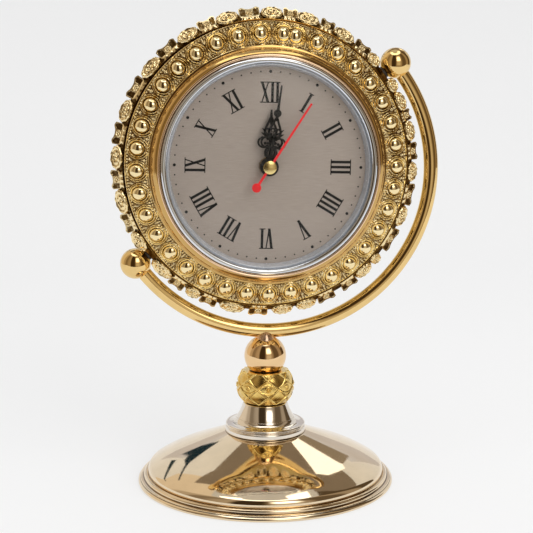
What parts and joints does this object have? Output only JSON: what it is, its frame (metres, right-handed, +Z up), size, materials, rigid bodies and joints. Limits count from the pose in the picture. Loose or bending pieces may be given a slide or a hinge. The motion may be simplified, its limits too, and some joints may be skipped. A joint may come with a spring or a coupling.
{
  "type": "table clock",
  "caption": "Gilt table clock whose round drum head turns on a slanted axis inside a curved arc, on a ball, a faceted knop and a domed foot, with a geared quartz movement.",
  "frame": {"origin": "centre of the felt's underside, on the surface that the clock stands on, on the axis of the stem", "axes": "+Z up the stem, -Y the way the dial faces, +X to the dial's right hand side (3 o'clock)"},
  "size_m": [0.1462, 0.1164, 0.2133],
  "materials": {
    "champagne_gold": "polished",
    "nickel_silver": "polished",
    "rose_gold": "polished",
    "cast_gold": "polished, dark in the recesses",
    "deep_gold": "polished",
    "antique_gold": "antique, dark in the recesses",
    "bezel_gold": "polished",
    "bright_silver": "polished",
    "felt_green": "felt",
    "iron": "as cast",
    "steel": "zinc plated",
    "dark_steel": "blackened",
    "nylon": "smooth",
    "brass_plain": "turned",
    "case_back": "gold lacquer",
    "clear_glass": "clear",
    "dial_silver": "brushed",
    "dark_ring": "satin black",
    "black_plastic": "moulded",
    "gear_plastic": "moulded",
    "rubber_black": "matt",
    "battery_skin": "plain sleeve",
    "copper_winding": "enamelled wire",
    "board_green": "lacquered",
    "hand_black": "satin black",
    "hand_red": "satin red",
    "cap_brass": "polished",
    "magnet_grey": "sintered"
  },
  "bodies": {
    "stand": {"base_shell": "champagne_gold", "base_felt": "felt_green", "base_weight": "iron", "tie_rod": "steel", "tie_nut": "steel", "tie_washer": "steel", "collar_ring": "nickel_silver", "neck_cone": "nickel_silver", "lower_stem_washer": "dark_steel", "knop": "cast_gold", "upper_stem_washer": "dark_steel", "stem_ball": "rose_gold", "arc_saddle": "rose_gold", "meridian_arc": "deep_gold", "upper_pivot_ball": "deep_gold", "lower_pivot_ball": "deep_gold", "upper_pivot_pin": "dark_steel", "lower_pivot_pin": "dark_steel", "upper_friction_sleeve": "nylon", "lower_friction_sleeve": "nylon"},
    "head": {"upper_pivot_bush": "brass_plain", "lower_pivot_bush": "brass_plain", "mounting_ring": "case_back", "drum_case": "case_back", "back_cover": "case_back", "back_cover_screws": "steel", "ring_screws": "steel", "front_ring": "antique_gold", "gallery_band": "antique_gold", "bezel_ring": "bezel_gold", "inner_bezel": "bright_silver", "glass": "clear_glass", "dial_spacer": "dark_ring", "dial_plate": "dial_silver", "movement_case": "black_plastic", "movement_cover": "black_plastic", "bush_washer": "rubber_black", "bush_nut": "brass_plain", "battery": "battery_skin", "plus_contact": "steel", "minus_contact": "steel", "stator": "steel", "coil_bobbin": "gear_plastic", "coil_winding": "copper_winding", "circuit_board": "board_green", "quartz_crystal": "steel"},
    "hour": {"hour_hand": "hand_black", "hour_wheel": "gear_plastic"},
    "minute": {"minute_hand": "hand_black", "cannon_pinion": "gear_plastic"},
    "setting": {"minute_wheel": "gear_plastic", "set_knob": "gear_plastic"},
    "seconds": {"second_hand": "hand_red", "second_hand_cap": "cap_brass", "seconds_wheel": "gear_plastic"},
    "third": {"third_wheel": "gear_plastic"},
    "centre": {"centre_wheel": "gear_plastic"},
    "intermediate": {"intermediate_wheel": "gear_plastic"},
    "rotor_body": {"rotor": "magnet_grey"}
  },
  "joints": [
    {"name": "head_turn", "type": "hinge", "parent": "stand", "child": "head", "pos_m": [0, 0, 0.145], "axis": [0.7976, 0, 0.6032], "continuous": true},
    {"name": "minute_turn", "type": "hinge", "parent": "head", "child": "minute", "pos_m": [0, 0, 0.145], "axis": [0, 1, 0], "continuous": true},
    {"name": "hour_turn", "type": "hinge", "parent": "head", "child": "hour", "pos_m": [0, 0, 0.145], "axis": [0, 1, 0], "continuous": true},
    {"name": "setting_turn", "type": "hinge", "parent": "head", "child": "setting", "pos_m": [0.0052, 0, 0.15401], "axis": [0, 1, 0], "continuous": true},
    {"name": "seconds_turn", "type": "hinge", "parent": "head", "child": "seconds", "pos_m": [0, 0, 0.145], "axis": [0, 1, 0], "continuous": true},
    {"name": "third_turn", "type": "hinge", "parent": "head", "child": "third", "pos_m": [-0.00866, 0, 0.15], "axis": [0, 1, 0], "continuous": true},
    {"name": "centre_turn", "type": "hinge", "parent": "head", "child": "centre", "pos_m": [0, 0, 0.145], "axis": [0, 1, 0], "continuous": true},
    {"name": "intermediate_turn", "type": "hinge", "parent": "head", "child": "intermediate", "pos_m": [0.00807, 0, 0.14429], "axis": [0, 1, 0], "continuous": true},
    {"name": "rotor_turn", "type": "hinge", "parent": "head", "child": "rotor_body", "pos_m": [0.01605, 0, 0.14374], "axis": [0, 1, 0], "continuous": true}
  ],
  "couplings": [
    {"joint": "hour_turn", "follows": "minute_turn", "ratio": 0.083333},
    {"joint": "setting_turn", "follows": "minute_turn", "ratio": -0.33333},
    {"joint": "third_turn", "follows": "seconds_turn", "ratio": -0.13333},
    {"joint": "centre_turn", "follows": "seconds_turn", "ratio": 0.016667},
    {"joint": "intermediate_turn", "follows": "seconds_turn", "ratio": -5},
    {"joint": "rotor_turn", "follows": "seconds_turn", "ratio": 30}
  ]
}
